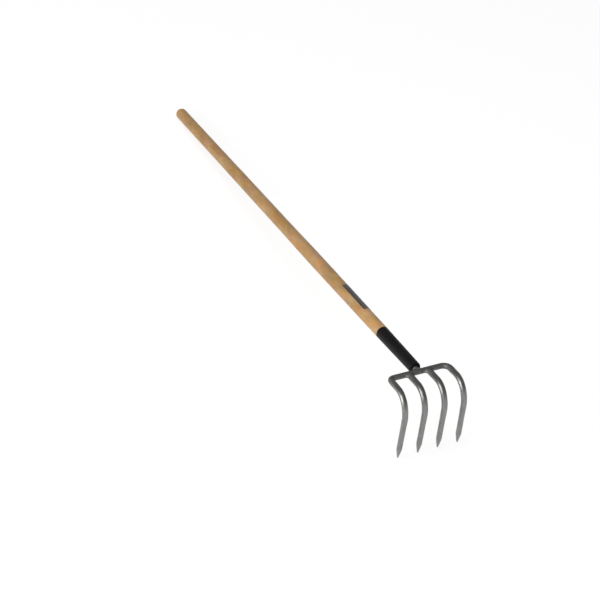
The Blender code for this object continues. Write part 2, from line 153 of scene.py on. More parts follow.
# Studio: the floor's reach, the strength of its own glow near the tool and far off, where 1 is
# white, the distances between which it rises, the strength of the dim walls, and the height up to
# which gloss sees them white
FLOOR_REACH = 30.0
NEAR_GLOW, FAR_GLOW = 0.80, 1.0
GLOW_FROM, GLOW_TO = 1.5, 5.0
ROOM_LEVEL = 0.28
LOW_WALL = 0.04

# Camera: its place, the point in the middle of the picture, its roll about that line, and its lens
CAMERA_PLACE = Vector((-1.89854, -4.14405, 3.24391))
CAMERA_AIM = Vector((-0.20149, -0.47796, 0.28789))
CAMERA_ROLL = math.radians(1.8599)
SENSOR_WIDTH = 36.0
FOCAL_LENGTH = 138.0

# Where the tool lies: the crossbar's middle and the three directions of the tool
rest = next(mount for mount in frame["record"]["mounts"] if mount["name"] == "butt_end")
ALONG = np.array(rest["axis"]) / np.linalg.norm(rest["axis"])
ACROSS = np.array([1.0, 0.0, 0.0])
UP = np.cross(ACROSS, ALONG)
BAR_MIDDLE = np.array(rest["pos_m"]) - BUTT_END * ALONG
TILT = math.atan2(ALONG[2], ALONG[1])


def in_place(points):
    """Points (across, along, up) of the tool where it lies: the bar's middle plus each share of its
    direction."""
    return BAR_MIDDLE + points @ np.stack([ACROSS, ALONG, UP])


def ease(start, end, share):
    """Half a cosine wave from start to end, level at both."""
    return start + (end - start) * (1 - np.cos(np.pi * np.clip(share, 0.0, 1.0))) / 2


# Shapes of the solid model, for whole arrays

def wood_radius(along):
    """Radius of the pole: cosine eases from neck to swell, swell to body and body to butt."""
    front = ease(NECK_RADIUS, SWELL_RADIUS, (along - FERRULE_REAR) / (SWELL_AT - FERRULE_REAR))
    middle = ease(SWELL_RADIUS, BODY_RADIUS, (along - SWELL_AT) / (BODY_AT - SWELL_AT))
    rear = ease(BODY_RADIUS, BUTT_RADIUS, (along - BODY_AT) / (BUTT_CENTRE - BODY_AT))
    return np.where(along > BODY_AT, rear, np.where(along > SWELL_AT, middle, front))


def ferrule_radius(along):
    """Outer radius of the ferrule: straight from its lip to the neck of the pole."""
    share = (along - LIP_AT) / (FERRULE_REAR - LIP_AT)
    return FERRULE_FRONT_RADIUS + (NECK_RADIUS - FERRULE_FRONT_RADIUS) * share


def tang_radius(along):
    """Radius of the tang: straight taper from the bar to its end."""
    return TANG_RADIUS + (TANG_END_RADIUS - TANG_RADIUS) * along / TANG_END


def tine_radius(travel):
    """Radius of a tine: swells from the bar to the shoulder, eases down over the bends and the
    shank, then falls to the tip as share to the power of the point's fullness, and ends in a
    ball."""
    bends_share = (travel - LEAD_LENGTH) / (SHANK_AT - LEAD_LENGTH)
    lead = ease(BAR_RADIUS, SHOULDER_RADIUS, travel / SHOULDER_AT)
    bends = ease(SHOULDER_RADIUS, BEND_END_RADIUS, bends_share)
    shank = ease(BEND_END_RADIUS, SHANK_RADIUS, (travel - SHANK_AT) / DRAW_LENGTH)
    share = np.clip((travel - POINT_AT) / (TIP_CENTRE - POINT_AT), 0.0, 1.0)
    point = SHANK_RADIUS + (TIP_RADIUS - SHANK_RADIUS) * share**POINT_FULLNESS
    past = np.maximum(travel - TIP_CENTRE, 0.0)
    ball = np.sqrt(np.maximum(TIP_RADIUS**2 - past**2, 0.0))
    parts = [travel < LEAD_LENGTH, travel < SHANK_AT, travel < POINT_AT, travel < TIP_CENTRE]
    return np.select(parts, [lead, bends, shank, point], ball)


def tine_line(travel):
    """Centre line (along, up) of a tine: a straight lead, two arcs that turn down, and a straight
    shank. On an arc the point moves by the change of sine and cosine of its heading, times the
    arc's radius."""
    along, up, heading = np.zeros_like(travel), np.zeros_like(travel), np.zeros_like(travel)
    left = travel
    parts = ((LEAD_LENGTH, None), (FIRST_BEND_LENGTH, FIRST_BEND_RADIUS),
             (SECOND_BEND_LENGTH, SECOND_BEND_RADIUS), (SHANK_LENGTH, None))
    for length, bend in parts:
        run = np.clip(left, 0.0, length)
        if bend:
            turned = heading + run / bend
            along = along - bend * (np.sin(turned) - np.sin(heading))
            up = up + bend * (np.cos(turned) - np.cos(heading))
            heading = turned
        else:
            along = along - run * np.cos(heading)
            up = up - run * np.sin(heading)
        left = left - run
    return along, up


def tine_tip(across):
    """The outermost point of a tine whose tip lies that far across."""
    along, up = tine_line(np.array(TINE_LENGTH))
    return [across, float(along), float(up)]


def tine_stations(start):
    """Travels from start to just short of the tip: even steps, then a quarter sine over the ball of
    the tip."""
    even = np.linspace(start, TIP_CENTRE, int((TIP_CENTRE - start) / ROD_STEP))
    ball = TIP_CENTRE + TIP_RADIUS * np.sin(QUARTER * np.arange(1, TIP_RINGS) / TIP_RINGS)
    return np.concatenate([even, ball])


# Meshes

def add_mesh(name, points, fields=None, loop=False, caps=None, ring=True):
    """A mesh from a grid of points (rows, columns, 3), whose rows are rings unless ring is false.

    loop joins the last row to the first. caps are the two points that close the ends of the rings.
    fields are named values per grid point, kept as attributes. The faces of a closed piece are
    turned outwards by the sign of its volume, the sum over triangles of the triple product of their
    corners.
    """
    rows, columns = points.shape[:2]
    index = np.arange(rows * columns).reshape(rows, columns)
    if loop:
        index = np.vstack([index, index[:1]])
    if ring:
        index = np.hstack([index, index[:, :1]])
    corners = (index[:-1, :-1], index[:-1, 1:], index[1:, 1:], index[1:, :-1])
    quads = np.stack(corners, axis=-1).reshape(-1, 4)
    places = points.reshape(-1, 3)
    ends = np.empty((0, 3), int)
    if caps is not None:
        first, last = rows * columns, rows * columns + 1
        near = np.stack([index[0, 1:], index[0, :-1], np.full(columns, first)], axis=-1)
        far = np.stack([index[-1, :-1], index[-1, 1:], np.full(columns, last)], axis=-1)
        ends = np.vstack([near, far])
        places = np.vstack([places, caps])
    if ring:
        corners = np.vstack([quads[:, [0, 1, 2]], quads[:, [0, 2, 3]], ends])
        a, b, c = (places[corners[:, k]] - places.mean(axis=0) for k in range(3))
        if np.sum(a * np.cross(b, c)) < 0:
            quads, ends = quads[:, ::-1], ends[:, ::-1]
    mesh = bpy.data.meshes.new(name)
    mesh.from_pydata(in_place(places).tolist(), [], quads.tolist() + ends.tolist())
    for label, values in (fields or {}).items():
        add_field(mesh, label, values, caps is not None)
    mesh.shade_smooth()
    mesh.set_sharp_from_angle(angle=SHARP_ANGLE)
    piece = bpy.data.objects.new(name, mesh)
    bpy.context.scene.collection.objects.link(piece)
    return piece


def add_field(mesh, label, values, capped):
    """Keeps a grid of vectors or of single numbers as a point attribute, and gives each cap its
    ring's mean."""
    flat = values.reshape(-1, values.shape[2])
    if capped:
        flat = np.vstack([flat, values[0].mean(axis=0), values[-1].mean(axis=0)])
    vector = flat.shape[1] == 3
    field = mesh.attributes.new(label, "FLOAT_VECTOR" if vector else "FLOAT", "POINT")
    field.data.foreach_set("vector" if vector else "value", flat.ravel().astype(np.float32))


def turned_points(outline):
    """A turned surface: each (radius, along) becomes a circle, (radius sin a, along, radius cos a),
    where a is the angle round the pole."""
    angle = 2 * np.pi * np.arange(POLE_COLUMNS) / POLE_COLUMNS
    radius, along = outline[:, :1], outline[:, 1:]
    return np.stack([radius * np.sin(angle), along + 0 * angle, radius * np.cos(angle)], axis=-1)


def rod_points(line, travel, side, radius, phase, smooth_until):
    """A rod of changing radius carried along a centre line.

    Its ring at each station is radius times (cos a lift + sin a side), where side is square to the
    line and lift is square to both. The hammer marks are slow waves in travel and a, which only
    ever take metal away. Returns the points, and the same points with the rod laid straight, as
    (radius cos a, travel, radius sin a).
    """
    heading = np.gradient(line, travel, axis=0)
    heading /= np.linalg.norm(heading, axis=1, keepdims=True)
    side = side - np.sum(side * heading, axis=1, keepdims=True) * heading
    side /= np.linalg.norm(side, axis=1, keepdims=True)
    lift = np.cross(side, heading)
    angle = 2 * np.pi * np.arange(ROD_COLUMNS) / ROD_COLUMNS
    travel, radius = travel[:, None], radius[:, None]
    waves = sum(np.sin(travel * rate + around * angle + share * phase)
                for rate, around, share in HAMMER_WAVES)
    unground = ease(0.0, 1.0, (radius - GROUND_RADIUS) / GROUND_FADE)
    marked = radius - HAMMER_DEPTH * (0.5 + waves / 6) * unground
    risen = ease(0.0, 1.0, (np.abs(travel) - smooth_until) / MARKS_RISE)
    full = radius + (marked - radius) * risen
    ring = np.cos(angle)[:, None] * lift[:, None] + np.sin(angle)[:, None] * side[:, None]
    points = line[:, None] + full[..., None] * ring
    laid = np.stack([full * np.cos(angle), travel + 0 * full, full * np.sin(angle)], axis=-1)
    return points, laid


def make_pole():
    """The turned pole: the flat and dome of the butt, the swelling body, an eased arris where it
    meets the ferrule, the tenon inside the ferrule and the bore for the tang."""
    dome = np.linspace(math.asin(BUTT_FLAT_RADIUS / BUTT_RADIUS), QUARTER, DOME_RINGS)
    butt = np.stack([BUTT_RADIUS * np.sin(dome), BUTT_CENTRE + BUTT_RADIUS * np.cos(dome)], axis=1)
    shoulder = FERRULE_REAR + SEAT_GAP
    along = np.linspace(BUTT_CENTRE, shoulder + EASED_ARRIS, BODY_RINGS)[1:]
    body = np.stack([wood_radius(along), along], axis=1)
    turn = np.linspace(0.0, QUARTER, ROUNDING_RINGS)[1:]
    arris = np.stack([NECK_RADIUS - EASED_ARRIS * 0.5 * (1 - np.cos(turn)),
                      shoulder + EASED_ARRIS * (1 - np.sin(turn))], axis=1)
    tenon = np.array([
        [NECK_RADIUS - FERRULE_WALL - SEAT_GAP, shoulder],
        [ferrule_radius(POLE_FRONT) - FERRULE_WALL - SEAT_GAP, POLE_FRONT],
        [tang_radius(POLE_FRONT) + SEAT_GAP, POLE_FRONT],
        [tang_radius(BORE_END) + SEAT_GAP, BORE_END],
    ])
    caps = np.array([[0.0, BUTT_END, 0.0], [0.0, BORE_END, 0.0]])
    return add_mesh("pole", turned_points(np.vstack([butt, body, arris, tenon])), caps=caps)


def make_ferrule():
    """The ferrule: a tapered tube whose lip is a quarter circle rolled in around the mouth, with a
    rounded rear edge. The inner side is the outer side, moved in by the wall."""
    turn = np.linspace(0.0, QUARTER, ROUNDING_RINGS)[:, None]
    rear = np.hstack([NECK_RADIUS - REAR_ROUNDING * (1 - np.sin(turn)),
                      FERRULE_REAR - REAR_ROUNDING * (1 - np.cos(turn))])
    along = np.linspace(FERRULE_REAR - REAR_ROUNDING, LIP_AT, FERRULE_RINGS)[1:-1, None]
    side = np.hstack([ferrule_radius(along), along])
    lip = FERRULE_FRONT_RADIUS - LIP_RADIUS
    roll = np.linspace(0.0, QUARTER, LIP_RINGS)[:, None]
    outer_lip = np.hstack([lip + LIP_RADIUS * np.cos(roll), LIP_AT - LIP_RADIUS * np.sin(roll)])
    mouth = np.array([
        [MOUTH_RADIUS + MOUTH_ROUNDING, FERRULE_MOUTH],
        [MOUTH_RADIUS + MOUTH_ROUNDING_MIDDLE, FERRULE_MOUTH + MOUTH_ROUNDING_MIDDLE],
        [MOUTH_RADIUS, FERRULE_MOUTH + MOUTH_ROUNDING],
        [MOUTH_RADIUS, FERRULE_MOUTH + FERRULE_WALL],
    ])
    inner_radius, back = LIP_RADIUS - FERRULE_WALL, roll[::-1]
    inner_lip = np.hstack([lip + inner_radius * np.cos(back), LIP_AT - inner_radius * np.sin(back)])
    inner_rear = np.array([[NECK_RADIUS - FERRULE_WALL, FERRULE_REAR]])
    outline = np.vstack([rear, side, outer_lip, mouth, inner_lip, inner_rear])
    return add_mesh("ferrule_tube", turned_points(outline), loop=True)


def bow_half(side, bend):
    """Half of the bow, with side -1 or 1: straight from the middle, a quarter circle at the corner,
    then a tine. Returns its distances from the middle, its centre line, its radius and the turn of
    its heading."""
    straight = OUTER_TINE - bend
    corner_length = bend * QUARTER
    offset = straight + corner_length - bend
    bar = np.linspace(0.0, straight, BAR_RINGS)[:-1]
    corner = straight + np.linspace(0.0, corner_length, CORNER_RINGS)[:-1]
    distance = np.concatenate([bar, corner, tine_stations(bend) + offset])
    turn = np.clip((distance - straight) / bend, 0.0, QUARTER)
    travel = np.maximum(distance - offset, bend)
    along, up = tine_line(travel)
    on_tine = distance > straight + corner_length - HAIR
    lean = SPLAY * bend / TINE_LENGTH * turn / QUARTER
    curve = np.minimum(distance, straight) + bend * np.sin(turn) + lean
    across = np.where(on_tine, OUTER_TINE + SPLAY * travel / TINE_LENGTH, curve)
    back = np.where(on_tine, along, -bend * (1 - np.cos(turn)))
    line = np.stack([side * across, back, np.where(on_tine, up, 0.0)], axis=1)
    corner_radius = ease(BAR_RADIUS, tine_radius(np.array(bend)), turn / QUARTER)
    radius = np.where(on_tine, tine_radius(travel), corner_radius)
    return side * distance, line, radius, side * turn


def make_bow():
    """The crossbar and both outer tines, bent from one rod: its left half, reversed, and its right
    half. Its side direction (-sin t, -cos t) follows the turn t of its heading."""
    halves = zip(bow_half(-1, LEFT_CORNER), bow_half(1, RIGHT_CORNER))
    distance, line, radius, turn = (np.concatenate([left[:0:-1], right]) for left, right in halves)
    side = np.stack([-np.sin(turn), -np.cos(turn), 0 * turn], axis=1)
    smooth_until = OUTER_TINE - RIGHT_CORNER
    points, laid = rod_points(line, distance, side, radius, BOW_PHASE, smooth_until)
    tip = OUTER_TINE + SPLAY
    caps = np.array([tine_tip(-tip), tine_tip(tip)])
    return add_mesh("bar_and_outer_tines", points, {"laid": laid}, caps=caps)


def make_inner_tine(name, across, phase):
    """An inner tine: a rod along the tine's line, spread sideways in proportion to its travel."""
    travel = tine_stations(INNER_TINE_START)
    spread = SPLAY * across / OUTER_TINE
    along, up = tine_line(travel)
    line = np.stack([across + spread * travel / TINE_LENGTH, along, up], axis=1)
    side = np.broadcast_to(np.array([-1.0, 0.0, 0.0]), line.shape)
    points, laid = rod_points(line, travel, side, tine_radius(travel), phase, ROOT_LENGTH)
    caps = np.array([[across, 0.0, 0.0], tine_tip(across + spread)])
    return add_mesh(name, points, {"laid": laid}, caps=caps)


def make_fillet(name, across, direction, sizes, rod_radius):
    """A weld fillet in level slices. At height z the rod is root(r^2 - z^2) wide on each side and
    the bar reaches root(R^2 - z^2); a quarter ellipse runs from one to the other, level with both
    where it meets them, and shrinks to nothing where the tops of the rod and the bar touch. The
    rest of each slice lies inside the rod and the bar. Its laid places go on from those of the
    rod."""
    bar = BAR_RADIUS - LET_IN
    z = bar * np.sin(QUARTER * np.linspace(-1, 1, FILLET_ROWS)[1:-1])[:, None]
    shrink = np.sqrt(1 - (z / bar) ** 2)
    bar_reach = np.sqrt(bar**2 - z**2)
    wide, far = sizes[0] * shrink, sizes[1] * shrink
    rod_end = bar_reach + far
    rod_side = np.sqrt(np.maximum((rod_radius(rod_end) - LET_IN) ** 2 - z**2, THINNEST**2))
    turn = np.linspace(0.0, QUARTER, FILLET_STEPS + 1)
    x = rod_side + wide * (1 - np.cos(turn))
    t = rod_end - far * np.sin(turn)
    foot = x[:, -1:]
    x = np.hstack([x, foot, -foot, -x[:, ::-1]])
    t = np.hstack([t, 0 * foot, 0 * foot, t[:, ::-1]])
    z = z + 0 * x
    caps = np.array([[across, 0.0, -bar], [across, 0.0, bar]])
    points = np.stack([across + x, direction * t, z], axis=-1)
    return add_mesh(name, points, {"laid": np.stack([z, t, -x], axis=-1)}, caps=caps)


def make_label():
    """The film: a sheet bent round the wood, whose rows narrow by a quarter circle at the corners.
    Its border field is 1 on the rim and falls with the distance from it."""
    share = ease(-1.0, 1.0, np.linspace(0, 1, LABEL_ROWS))[:, None]
    along = LABEL_FRONT + LABEL_LENGTH * (1 + share) / 2
    to_end = LABEL_LENGTH / 2 * (1 - np.abs(share))
    in_corner = np.maximum(LABEL_CORNER - to_end, 0.0)
    inset = LABEL_CORNER - np.sqrt(LABEL_CORNER**2 - in_corner**2)
    radius = wood_radius(along) + LABEL_LIFT
    half = LABEL_HALF_ANGLE - inset / radius
    angle = LABEL_TURN + half * np.linspace(-1, 1, LABEL_COLUMNS)
    points = np.stack([radius * np.sin(angle), along + 0 * angle, radius * np.cos(angle)], axis=-1)
    to_side = radius * (LABEL_HALF_ANGLE - np.abs(angle - LABEL_TURN))
    border = np.exp(-np.minimum(to_end + 0 * angle, to_side) / LABEL_BORDER)
    film = add_mesh("bare_label", points, {"border": border[..., None]}, ring=False)
    shell = film.modifiers.new("Film", "SOLIDIFY")
    shell.thickness = LABEL_THICKNESS
    shell.offset = 1.0
    return film


# Shader helpers

def feed(tree, socket, value):
    """Links the output of another node to a socket, or sets the socket to a number or a colour."""
    if isinstance(value, bpy.types.NodeSocket):
        tree.links.new(value, socket)
    else:
        socket.default_value = (*value, 1.0) if socket.type == "RGBA" else value


def put(tree, kind, inputs=None, **settings):
    """A shader node with its settings, whose inputs are values or the outputs of other nodes."""
    made = tree.nodes.new("ShaderNode" + kind)
    for key, value in settings.items():
        setattr(made, key, value)
    for key, value in (inputs or {}).items():
        feed(tree, made.inputs[key], value)
    return made


def calc(tree, operation, first, second=0.0, clamp=False):
    """The result of one sum."""
    return put(tree, "Math", {0: first, 1: second}, operation=operation, use_clamp=clamp).outputs[0]


def vector_calc(tree, operation, first, second):
    """The result of one sum of two vectors."""
    return put(tree, "VectorMath", {0: first, 1: second}, operation=operation).outputs[0]


def spread_over(tree, value, low, high, start=0.0, end=1.0):
    """A value that runs from low to high, moved to run smoothly from start to end."""
    inputs = {"Value": value, "From Min": low, "From Max": high, "To Min": start, "To Max": end}
    return put(tree, "MapRange", inputs, interpolation_type="SMOOTHSTEP").outputs["Result"]


def between(tree, share, start, end):
    """A value that runs smoothly from start to end as the share runs from 0 to 1."""
    return spread_over(tree, share, 0.0, 1.0, start, end)


def mix(tree, share, first, second, blend="MIX"):
    """Two colours mixed by a share."""
    inputs = {"Factor": share, 6: first, 7: second}
    return put(tree, "Mix", inputs, data_type="RGBA", blend_type=blend).outputs[2]


def stain(tree, color, mask, strength, other):
    """A colour moved towards another one by a mask times a strength."""
    return mix(tree, calc(tree, "MULTIPLY", mask, strength), color, other)


def noise(tree, place, scale, detail, roughness=0.5, output="Fac"):
    """Fractal noise at a place."""
    inputs = {"Vector": place, "Scale": scale, "Detail": detail, "Roughness": roughness}
    return put(tree, "TexNoise", inputs).outputs[output]


def centred(tree, place, middle, turn):
    """A place measured from a middle, in directions that are turned."""
    inputs = {"Vector": place, "Location": middle, "Rotation": turn}
    return put(tree, "Mapping", inputs, vector_type="TEXTURE").outputs[0]


def tool_place(tree):
    """Object coordinates, centred on the crossbar and turned so that Y runs along the pole."""
    place = put(tree, "TexCoord").outputs["Object"]
    return centred(tree, place, tuple(BAR_MIDDLE), (TILT, 0.0, 0.0))


def laid_place(tree):
    """Coordinates of a bent rod laid straight, with Y along it."""
    return put(tree, "Attribute", attribute_name="laid").outputs["Vector"]


def along_tool(tree, place):
    """The share of a tool's place that runs along the pole."""
    return put(tree, "SeparateXYZ", {0: place}).outputs["Y"]


def stretched(tree, place, across, along):
    """A place counted in patches: so many per metre across, on X and Z, and along, on Y."""
    sizes = put(tree, "CombineXYZ", {"X": across, "Y": along, "Z": across}).outputs[0]
    return vector_calc(tree, "MULTIPLY", place, sizes)


def new_group(name, output, **usual):
    """An empty shader group with a Place, further inputs with their usual values, and an output."""
    group = bpy.data.node_groups.new(name, "ShaderNodeTree")
    group.interface.new_socket("Place", in_out="INPUT", socket_type="NodeSocketVector")
    for label, value in usual.items():
        socket = group.interface.new_socket(label.replace("_", " "), in_out="INPUT",
                                            socket_type="NodeSocketFloat")
        socket.default_value = value
    group.interface.new_socket(output, in_out="OUTPUT", socket_type="NodeSocketFloat")
    start = group.nodes.new("NodeGroupInput").outputs
    end = group.nodes.new("NodeGroupOutput").inputs
    return group, start, end


def patches_group():
    """Cloudy patches of tone, 0 to 1: fractal noise pulled away from its middle by the contrast."""
    group, start, end = new_group("cloudy_patches", "Tone", Across=30.0, Along=10.0, Contrast=2.0)
    where = stretched(group, start["Place"], start["Across"], start["Along"])
    cloud = noise(group, where, scale=1.0, detail=3.0, roughness=0.55)
    pulled = calc(group, "MULTIPLY", calc(group, "SUBTRACT", cloud, 0.5), start["Contrast"])
    group.links.new(calc(group, "ADD", pulled, 0.5, clamp=True), end["Tone"])
    return group


def fibres_group():
    """Thin lines that run lengthwise: stretched noise whose upper part is kept and sharpened."""
    group, start, end = new_group("lengthwise_fibres", "Lines",
                                  Across=900.0, Along=14.0, Sharpness=2.0)
    where = stretched(group, start["Place"], start["Across"], start["Along"])
    lines = noise(group, where, scale=1.0, detail=2.0, roughness=0.6)
    kept = spread_over(group, lines, 0.35, 0.75)
    group.links.new(calc(group, "POWER", kept, start["Sharpness"]), end["Lines"])
    return group


def relief_group():
    """Height of a worked surface: broad unevenness plus a share of fine grain."""
    group, start, end = new_group("worked_relief", "Height",
                                  Broad=120.0, Fine=1500.0, Fine_share=0.3)
    broad = noise(group, start["Place"], scale=start["Broad"], detail=2.0)
    fine = noise(group, start["Place"], scale=start["Fine"], detail=3.0)
    small = calc(group, "MULTIPLY", fine, start["Fine share"])
    group.links.new(calc(group, "ADD", broad, small), end["Height"])
    return group


def rubbed_group():
    """Wear where hands and ground rub: an edge mask broken up by specks, 0 to 1."""
    group, start, end = new_group("rubbed_edges", "Wear", Edge=0.0, Amount=0.5, Specks=700.0)
    specks = noise(group, start["Place"], scale=start["Specks"], detail=3.0)
    specks = calc(group, "MULTIPLY", specks, 0.7)
    reach = calc(group, "MULTIPLY", start["Edge"], start["Amount"])
    bare = spread_over(group, calc(group, "ADD", reach, specks), 0.62, 0.80)
    group.links.new(calc(group, "MULTIPLY", bare, start["Edge"], clamp=True), end["Wear"])
    return group


PATCHES = patches_group()
FIBRES = fibres_group()
RELIEF = relief_group()
RUBBED = rubbed_group()


def use(tree, group, place, **values):
    """The output of a shared group, placed with its own values."""
    made = tree.nodes.new("ShaderNodeGroup")
    made.node_tree = group
    tree.links.new(place, made.inputs["Place"])
    for label, value in values.items():
        feed(tree, made.inputs[label.replace("_", " ")], value)
    return made.outputs[0]


def new_material(name):
    """A material and its Principled shader."""
    material = bpy.data.materials.new(name)
    material.use_nodes = True
    return material, material.node_tree, material.node_tree.nodes["Principled BSDF"]


def roughen(tree, shader, height, strength, distance):
    """Feeds a height through a bump to the shader's normal."""
    bump = put(tree, "Bump", {"Height": height, "Strength": strength, "Distance": distance})
    tree.links.new(bump.outputs[0], shader.inputs["Normal"])


# Finishes: their colours, as shares of red, green and blue. Tints multiply the colour under them.

DARK_GOLD, LIGHT_GOLD = (0.405, 0.254, 0.080), (0.585, 0.375, 0.162)
REDDISH_WOOD = (0.560, 0.256, 0.125)
YELLOW_TINT, PALE_TINT = (1.06, 1.01, 0.80), (0.95, 1.00, 1.22)
LATE_WOOD = (0.330, 0.160, 0.062)
OPEN_PORES = (0.270, 0.130, 0.055)
FRONT_TINT = (1.20, 1.22, 1.22)
END_GRAIN = (0.300, 0.160, 0.070)
DARK_ENAMEL, LIGHT_ENAMEL = (0.0060, 0.0052, 0.0055), (0.0098, 0.0084, 0.0087)
RUBBED_ENAMEL = (0.085, 0.083, 0.080)
BLACK_SCALE = (0.02, 0.02, 0.02)
DULL_WIRE, BRIGHT_WIRE = (0.24, 0.24, 0.23), (0.40, 0.40, 0.39)
DARK_FILM, LIGHT_FILM = (0.056, 0.047, 0.047), (0.142, 0.119, 0.110)
FILM_BORDER = (0.022, 0.018, 0.018)
SCUFFED_FILM = (0.30, 0.26, 0.22)
WHITE = (1.0, 1.0, 1.0)
FLOOR_COLOR = (0.80, 0.80, 0.79)
FLOOR_SHADED = (0.30, 0.30, 0.30)

# The heart of the tree beside the pole: where it lies, and how it leans from the pole. The wood is
# paler up to a little behind the label's front edge, and its end grain shows on the butt.
HEART = (-0.034, 0.0, -0.052)
HEART_LEAN = (0.010, 0.0, -0.014)
PALER_UNTIL = LABEL_FRONT + 0.03
END_GRAIN_FROM = BUTT_CENTRE - 0.004

# How far the rubbed rims of the ferrule reach from its rear edge and from its mouth
REAR_RIM, FRONT_RIM = 0.0022, 0.0028

# The matt scale around the crossbar: where it begins and where it is full, and how rough it is
MATT_FROM, MATT_FULL = -0.042, -0.014
MATT_ROUGHNESS = 0.64


def varnished_ash():
    """Turned ash under clear varnish: growth rings about a line beside the pole, so that they
    surface as long lines and pointed arches, patches of golden, reddish, yellow and pale tan, open
    pores, and paler wood between the label and the ferrule."""
    material, tree, shader = new_material("varnished_ash")
    place = tool_place(tree)
    bends = stretched(tree, place, across=9.0, along=2.2)
    sway = noise(tree, bends, scale=1.0, detail=1.0, output="Color")
    swayed = vector_calc(tree, "MULTIPLY", sway, (0.010, 0.0, 0.010))
    log = vector_calc(tree, "ADD", centred(tree, place, HEART, HEART_LEAN), swayed)
    growth = {"Vector": log, "Scale": 118.0, "Distortion": 0.6, "Detail": 2.0, "Detail Scale": 1.2}
    rings = put(tree, "TexWave", growth, wave_type="RINGS", rings_direction="Y", wave_profile="SAW")
    late = spread_over(tree, rings.outputs["Fac"], 0.55, 1.0)
    golden = use(tree, PATCHES, place, Across=34.0, Along=19.0, Contrast=3.6)
    elsewhere = vector_calc(tree, "ADD", place, (0.31, 0.77, 0.52))
    reddish = use(tree, PATCHES, elsewhere, Across=40.0, Along=27.0, Contrast=3.6)
    elsewhere = vector_calc(tree, "ADD", place, (0.83, 0.19, 0.64))
    pale = use(tree, PATCHES, elsewhere, Across=46.0, Along=31.0, Contrast=3.6)
    fibres = use(tree, FIBRES, place, Across=1100.0, Along=11.0, Sharpness=1.6)
    color = mix(tree, golden, DARK_GOLD, LIGHT_GOLD)
    color = stain(tree, color, reddish, 0.50, REDDISH_WOOD)
    color = mix(tree, 1.0, color, mix(tree, pale, YELLOW_TINT, PALE_TINT), "MULTIPLY")
    color = stain(tree, color, late, 0.30, LATE_WOOD)
    color = stain(tree, color, fibres, 0.22, OPEN_PORES)
    along = along_tool(tree, place)
    front = spread_over(tree, along, FERRULE_REAR, PALER_UNTIL, 1.0, 0.0)
    color = mix(tree, front, color, FRONT_TINT, "MULTIPLY")
    end_grain = spread_over(tree, along, END_GRAIN_FROM, BUTT_END, 0.0, 0.35)
    tree.links.new(mix(tree, end_grain, color, END_GRAIN), shader.inputs["Base Color"])
    handled = use(tree, PATCHES, place, Across=60.0, Along=20.0, Contrast=1.6)
    tree.links.new(between(tree, handled, 0.40, 0.54), shader.inputs["Roughness"])
    shader.inputs["Specular IOR Level"].default_value = 0.32
    shader.inputs["Coat Weight"].default_value = 0.06
    shader.inputs["Coat Roughness"].default_value = 0.28
    pores = calc(tree, "SUBTRACT", calc(tree, "MULTIPLY", late, 0.4), fibres)
    roughen(tree, shader, pores, strength=0.25, distance=0.00012)
    return material


def black_enamel():
    """Black enamel on drawn tube: a slight orange peel, softer gloss in patches and rubbed rims."""
    material, tree, shader = new_material("black_enamel")
    place = tool_place(tree)
    along = along_tool(tree, place)
    rear = spread_over(tree, along, FERRULE_REAR - REAR_RIM, FERRULE_REAR)
    front = spread_over(tree, along, FERRULE_MOUTH + FRONT_RIM, FERRULE_MOUTH)
    rims = calc(tree, "MAXIMUM", rear, front)
    wear = use(tree, RUBBED, place, Edge=rims, Amount=0.20, Specks=900.0)
    cloud = use(tree, PATCHES, place, Across=55.0, Along=25.0, Contrast=2.0)
    color = stain(tree, mix(tree, cloud, DARK_ENAMEL, LIGHT_ENAMEL), wear, 0.7, RUBBED_ENAMEL)
    tree.links.new(color, shader.inputs["Base Color"])
    tree.links.new(between(tree, cloud, 0.44, 0.56), shader.inputs["Roughness"])
    shader.inputs["Specular IOR Level"].default_value = 0.12
    peel = use(tree, RELIEF, place, Broad=420.0, Fine=2200.0, Fine_share=0.15)
    roughen(tree, shader, peel, strength=0.22, distance=0.00010)
    return material


def forged_steel(name, place_of, dark, light, roughness, relief):
    """Forged steel under clear lacquer: cloudy scale, faint lines along the rod and a hammered
    relief. Around the crossbar the scale is left matt and a little darker; the tines are drawn
    smoother."""
    material, tree, shader = new_material(name)
    place = place_of(tree)
    cloud = use(tree, PATCHES, place, Across=110.0, Along=45.0, Contrast=2.2)
    lines = use(tree, FIBRES, place, Across=650.0, Along=30.0, Sharpness=1.2)
    matt = spread_over(tree, along_tool(tree, tool_place(tree)), MATT_FROM, MATT_FULL)
    color = mix(tree, cloud, dark, light)
    color = stain(tree, color, lines, 0.20, tuple(0.62 * part for part in dark))
    color = stain(tree, color, matt, 0.14, BLACK_SCALE)
    tree.links.new(color, shader.inputs["Base Color"])
    shader.inputs["Metallic"].default_value = 1.0
    rough = calc(tree, "ADD", between(tree, cloud, roughness + 0.05, roughness - 0.03),
                 calc(tree, "MULTIPLY", lines, 0.06))
    rough = calc(tree, "ADD", rough, calc(tree, "MULTIPLY", matt, MATT_ROUGHNESS - roughness))
    tree.links.new(rough, shader.inputs["Roughness"])
    height = use(tree, RELIEF, place, Broad=170.0, Fine=1700.0, Fine_share=0.12)
    roughen(tree, shader, height, strength=relief, distance=0.00018)
    return material


def drawn_nail():
    """Bright drawn wire, dulled and scuffed where it was driven home."""
    material, tree, shader = new_material("drawn_nail")
    place = tool_place(tree)
    cloud = use(tree, PATCHES, place, Across=500.0, Along=500.0, Contrast=2.4)
    tree.links.new(mix(tree, cloud, DULL_WIRE, BRIGHT_WIRE), shader.inputs["Base Color"])
    shader.inputs["Metallic"].default_value = 1.0
    tree.links.new(between(tree, cloud, 0.42, 0.28), shader.inputs["Roughness"])
    height = use(tree, RELIEF, place, Broad=600.0, Fine=3000.0, Fine_share=0.3)
    roughen(tree, shader, height, strength=0.2, distance=0.00010)
    return material


